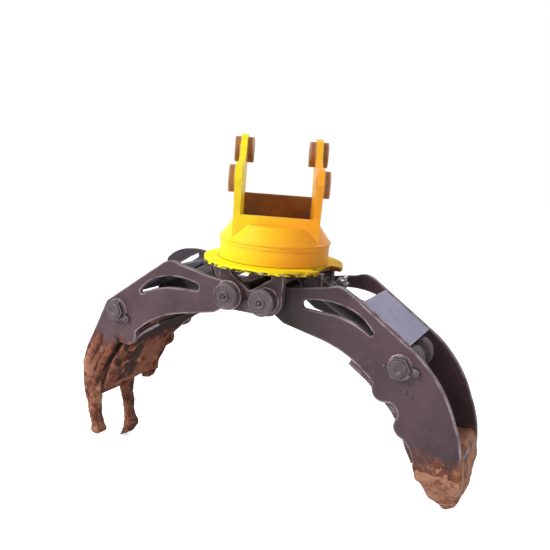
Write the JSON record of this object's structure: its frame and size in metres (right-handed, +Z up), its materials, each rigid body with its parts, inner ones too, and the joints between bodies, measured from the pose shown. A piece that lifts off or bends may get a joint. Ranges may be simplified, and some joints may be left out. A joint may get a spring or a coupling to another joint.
{
  "type": "hydraulic rotating grapple",
  "caption": "Excavator-mounted rotating claw grapple: coupling head with pin ears, slewing joint with flange, frame and two cylinder-driven jaws, one with long fingers and one narrow tine.",
  "frame": {"origin": "centre of the arm pin bore, on its axis, half way between the two ears", "axes": "+X the way the right (narrow) jaw opens, +Y along the jaw pivot pins to the far side, +Z up; the head stands turned 26 degrees about +Z from this frame at rest"},
  "size_m": [1.842, 0.6, 1.622],
  "materials": {
    "yellow_paint": "worn glossy paint with rust at the edges",
    "rusty_collar": "orange paint worn to rust",
    "pin_steel": "dark worn steel",
    "bearing_steel": "ground and greased",
    "hydraulic_casting": "cast, oily",
    "bronze": "turned bronze",
    "rod_chrome": "hard chromed, dusty",
    "cylinder_paint": "dark paint, dusty",
    "earthy_steel": "bare steel caked with dry earth",
    "cover_paint": "light grey paint, scuffed",
    "grey_paint": "dark grey paint, edges worn bright"
  },
  "bodies": {
    "head": {"arm_pin_collars": "rusty_collar", "cross_plate_front": "yellow_paint", "cross_plate_rear": "yellow_paint", "ear_left": "yellow_paint", "ear_right": "yellow_paint", "head_drum": "yellow_paint", "head_ring_plate": "yellow_paint", "link_pin_collars": "rusty_collar", "oil_joint_housing": "hydraulic_casting", "slew_motor": "hydraulic_casting", "slew_race_outer": "bearing_steel"},
    "pinion": {"slew_pinion": "bearing_steel"},
    "frame": {"base_pins": "pin_steel", "cylinder_lugs": "grey_paint", "flange_plate": "yellow_paint", "frame_cross_plates": "grey_paint", "frame_plate_front": "grey_paint", "frame_plate_rear": "grey_paint", "frame_spacer": "pin_steel", "oil_joint_core": "hydraulic_casting", "pivot_bosses_right": "pin_steel", "pivot_pin_caps": "pin_steel", "pivot_pin_left": "pin_steel", "pivot_pin_right": "pin_steel", "slew_balls": "bearing_steel", "slew_race_bolts": "pin_steel", "slew_race_inner": "bearing_steel"},
    "jaw_left": {"jaw_left_back_plate": "grey_paint", "jaw_left_bushes": "bronze", "jaw_left_cover": "cover_paint", "jaw_left_finger_far": "earthy_steel", "jaw_left_finger_near": "earthy_steel", "jaw_left_flanks": "grey_paint", "jaw_left_hose_guard": "grey_paint", "jaw_left_hub_rings": "grey_paint", "jaw_left_inner_web": "grey_paint", "jaw_left_pin_caps": "pin_steel", "jaw_left_pin_collars": "grey_paint", "jaw_left_rod_pin": "pin_steel", "jaw_left_side_far": "grey_paint", "jaw_left_side_near": "grey_paint"},
    "jaw_right": {"jaw_right_back_plate": "grey_paint", "jaw_right_bushes": "bronze", "jaw_right_cover": "cover_paint", "jaw_right_hub": "grey_paint", "jaw_right_inner_web": "grey_paint", "jaw_right_pin_caps": "pin_steel", "jaw_right_pin_collars": "grey_paint", "jaw_right_rod_pin": "pin_steel", "jaw_right_side_far": "grey_paint", "jaw_right_side_near": "grey_paint", "jaw_right_tine": "earthy_steel"},
    "rod_left": {"cylinder_left_rod": "rod_chrome"},
    "barrel_left": {"cylinder_left_barrel": "cylinder_paint", "cylinder_left_gland": "cylinder_paint", "cylinder_left_ports": "cylinder_paint"},
    "rod_right": {"cylinder_right_rod": "rod_chrome"},
    "barrel_right": {"cylinder_right_barrel": "cylinder_paint", "cylinder_right_gland": "cylinder_paint", "cylinder_right_ports": "cylinder_paint"}
  },
  "joints": [
    {"name": "slew", "type": "hinge", "parent": "head", "child": "frame", "pos_m": [0.06137, -0.12583, -0.437], "axis": [0, 0, 1], "continuous": true},
    {"name": "pinion_spin", "type": "hinge", "parent": "head", "child": "pinion", "pos_m": [0.00877, -0.01798, -0.417], "axis": [0, 0, 1], "continuous": true},
    {"name": "jaw_left_close", "type": "hinge", "parent": "frame", "child": "jaw_left", "pos_m": [-0.02163, -0.12583, -0.59], "axis": [0, -1, 0], "range_deg": [0, 50]},
    {"name": "rod_left_swing", "type": "hinge", "parent": "jaw_left", "child": "rod_left", "pos_m": [-0.58963, -0.12583, -0.754], "axis": [0, -1, 0], "range_deg": [-0.5, 3.35]},
    {"name": "barrel_left_stroke", "type": "slide", "parent": "rod_left", "child": "barrel_left", "axis": [0.882, 0, 0.4713], "range_m": [0, 0.1236]},
    {"name": "jaw_right_close", "type": "hinge", "parent": "frame", "child": "jaw_right", "pos_m": [0.14437, -0.12583, -0.59], "axis": [0, 1, 0], "range_deg": [0, 50]},
    {"name": "rod_right_swing", "type": "hinge", "parent": "jaw_right", "child": "rod_right", "pos_m": [0.71237, -0.12583, -0.754], "axis": [0, 1, 0], "range_deg": [-0.5, 3.35]},
    {"name": "barrel_right_stroke", "type": "slide", "parent": "rod_right", "child": "barrel_right", "axis": [-0.882, 0, 0.4713], "range_m": [0, 0.1236]}
  ],
  "couplings": [
    {"joint": "pinion_spin", "follows": "slew", "ratio": 5},
    {"joint": "rod_left_swing", "follows": "jaw_left_close", "ratio": 0.057},
    {"joint": "barrel_left_stroke", "follows": "jaw_left_close", "m_per_rad": 0.1405},
    {"joint": "rod_right_swing", "follows": "jaw_right_close", "ratio": 0.057},
    {"joint": "barrel_right_stroke", "follows": "jaw_right_close", "m_per_rad": 0.1405}
  ]
}
